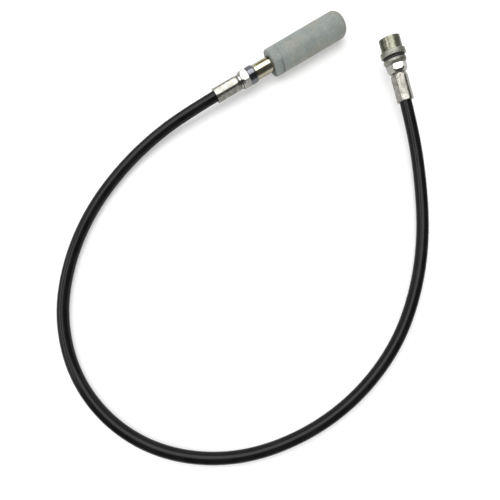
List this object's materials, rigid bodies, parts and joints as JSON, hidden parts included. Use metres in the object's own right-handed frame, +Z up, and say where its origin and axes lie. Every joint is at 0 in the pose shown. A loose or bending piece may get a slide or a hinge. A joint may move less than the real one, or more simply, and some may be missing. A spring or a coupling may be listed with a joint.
{
  "type": "cable shutter release",
  "caption": "Push-grip cable release for a camera shutter: sheathed cable in an open loop, crimped ferrules, sprung grip on a plated barrel, and swivelling threaded coupling with release pin.",
  "frame": {"origin": "on the table, under the middle of the operator end (grip, barrel, nut and ferrule), not counting the cable and what is on it", "axes": "+X along the grip's axis towards the thumb end, +Z up, +Y to the left of the grip seen from the cable"},
  "size_m": [0.2264, 0.1756, 0.0212],
  "materials": {
    "jacket_vinyl": "glossy black extruded jacket",
    "spring_steel": "drawn wire",
    "plated_steel": "bright nickel plate",
    "black_ring": "polished blue-black",
    "nickel_brass": "pale nickel plate over brass",
    "brass": "turned",
    "grip_grey": "fine bead-blasted grey",
    "satin_steel": "satin",
    "gunmetal": "dark turned and knurled",
    "black_rubber": "matt"
  },
  "bodies": {
    "release": {"cable_jacket": "jacket_vinyl", "cable_conduit": "spring_steel", "inner_wire": "spring_steel", "operator_ferrule": "plated_steel", "operator_stem": "plated_steel", "stem_washer": "plated_steel", "bumper_ring": "black_ring", "guide_barrel": "nickel_brass", "barrel_stop_ring": "plated_steel", "rod_bush": "brass", "barrel_spring_seat": "plated_steel", "return_spring": "spring_steel", "camera_ferrule": "plated_steel", "camera_stem": "plated_steel", "camera_collar": "satin_steel", "camera_seal": "black_rubber", "nut_retaining_clip": "spring_steel", "pin_guide": "brass"},
    "grip": {"grip_shell": "grip_grey", "grip_collar": "grip_grey", "guide_key": "spring_steel", "plunger_rod": "plated_steel", "wire_socket": "brass", "rod_lock_nut": "plated_steel", "grip_spring_seat": "plated_steel"},
    "pin": {"release_pin": "plated_steel", "pin_socket": "brass"},
    "coupling": {"coupling_nut": "gunmetal"}
  },
  "joints": [
    {"name": "grip_push", "type": "slide", "parent": "release", "child": "grip", "axis": [-1, 0, 0], "range_m": [0, 0.0094], "stiffness_N_per_m": 400, "springref_m": -0.004, "deforming": ["return_spring"]},
    {"name": "pin_travel", "type": "slide", "parent": "release", "child": "pin", "axis": [0.2653, 0.9456, 0.1883], "range_m": [0, 0.0094]},
    {"name": "coupling_swivel", "type": "hinge", "parent": "release", "child": "coupling", "pos_m": [0.04747, -0.03169, 0.01449], "axis": [0.2653, 0.9456, 0.1883], "continuous": true}
  ],
  "couplings": [
    {"joint": "pin_travel", "follows": "grip_push", "ratio": 1}
  ]
}
